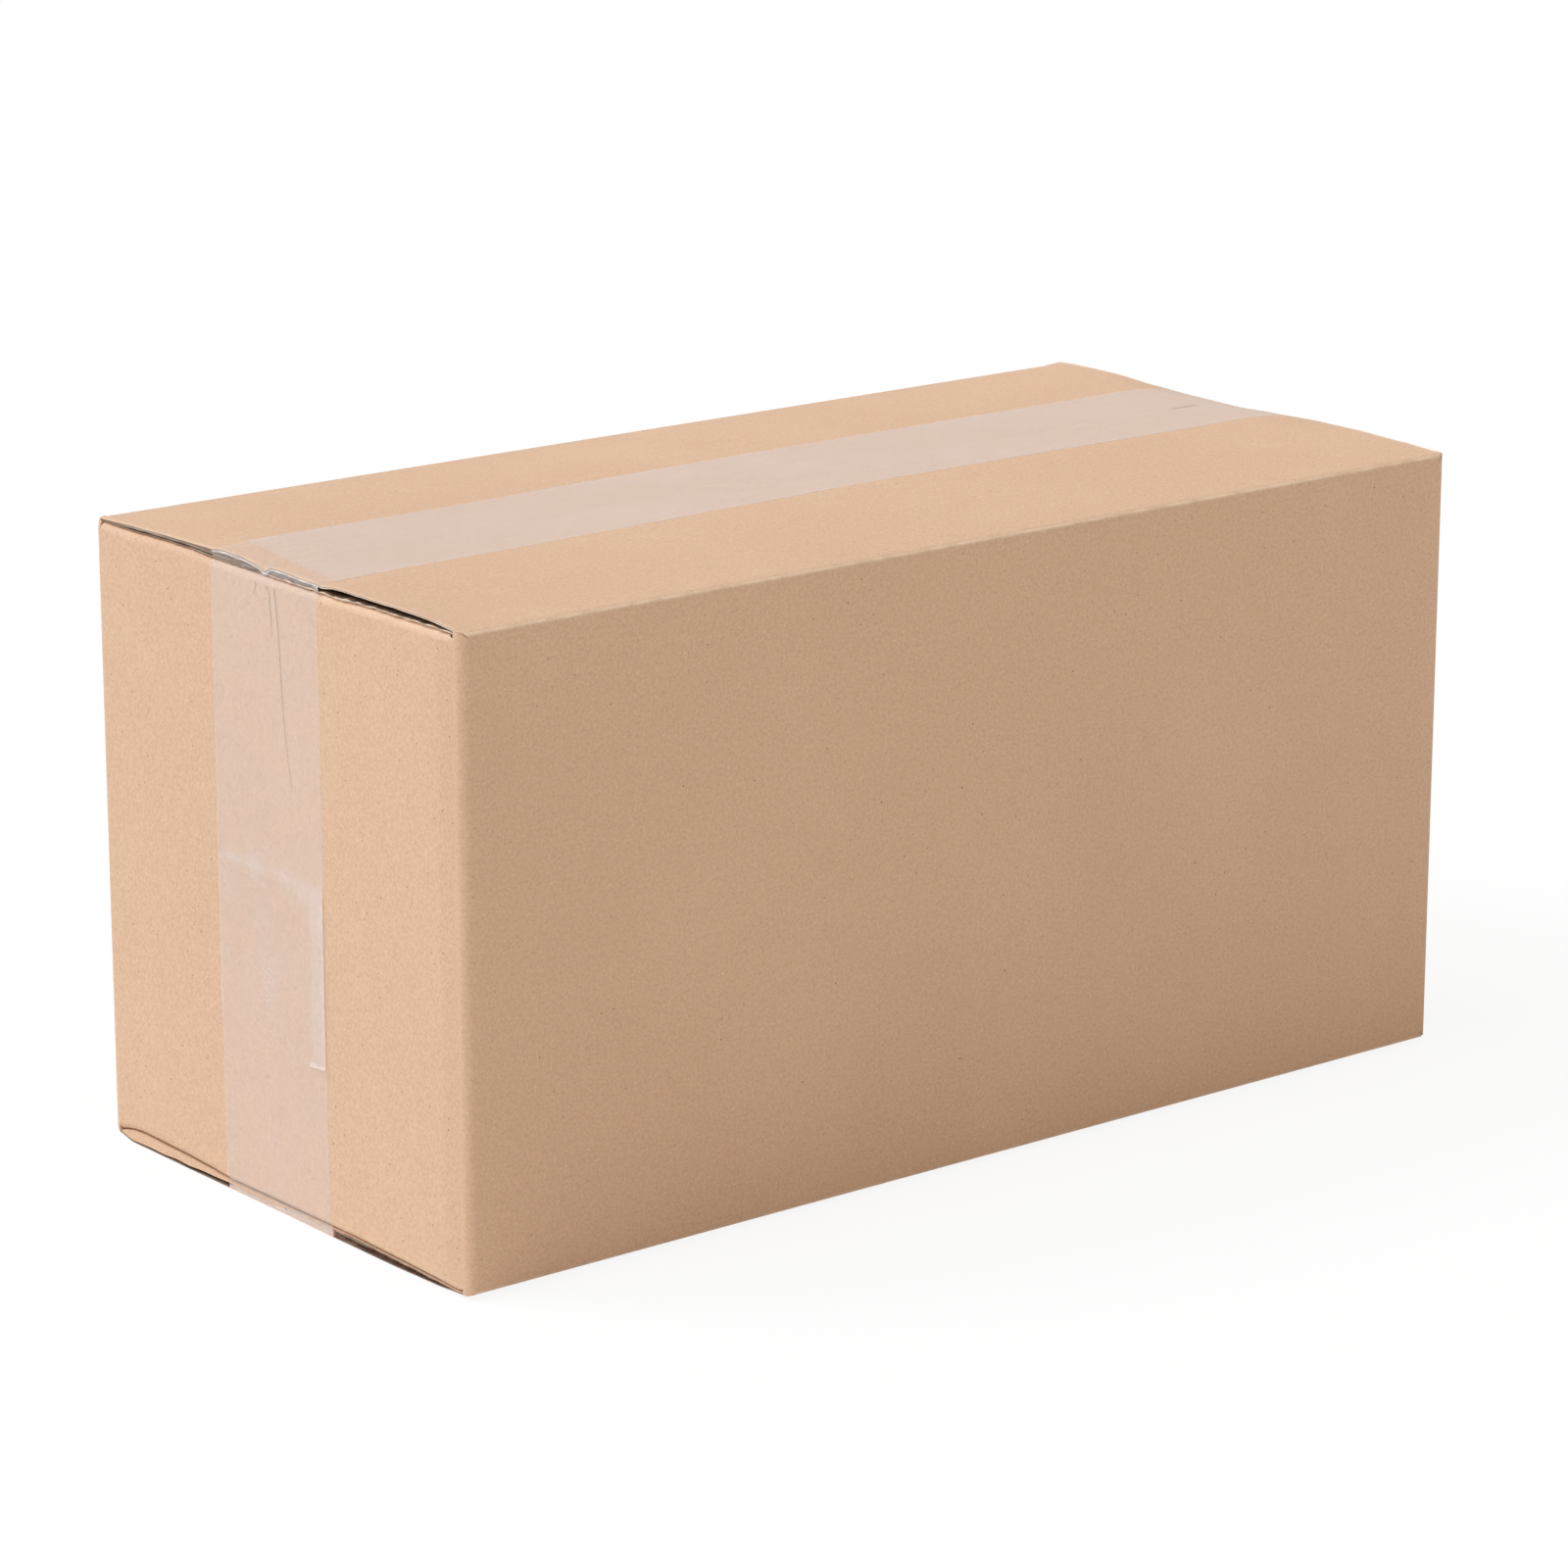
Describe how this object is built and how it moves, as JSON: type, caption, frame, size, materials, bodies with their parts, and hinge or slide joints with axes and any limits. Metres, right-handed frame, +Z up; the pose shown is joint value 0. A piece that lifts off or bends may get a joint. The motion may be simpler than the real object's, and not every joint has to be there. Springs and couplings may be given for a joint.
{
  "type": "closed cardboard box",
  "caption": "Closed corrugated shipping carton with bowed flaps and an open flute at each flap end, sealed lengthwise by one turn of clear packing tape.",
  "frame": {"origin": "middle of the footprint, on the surface that the carton stands on", "axes": "+X along the length, away from the end panel with the tape's lap; +Y across the width, from the plain front side panel to the back; +Z up"},
  "size_m": [0.4202, 0.206, 0.2174],
  "materials": {
    "kraft_board": "uncoated kraft paper over corrugated board, fine mottle and sparse dark flecks",
    "clear_tape": "clear film tape, glossy, milky where air lies under it"
  },
  "bodies": {
    "root": {"carton": "kraft_board", "sealing_tape": "clear_tape"}
  },
  "joints": []
}
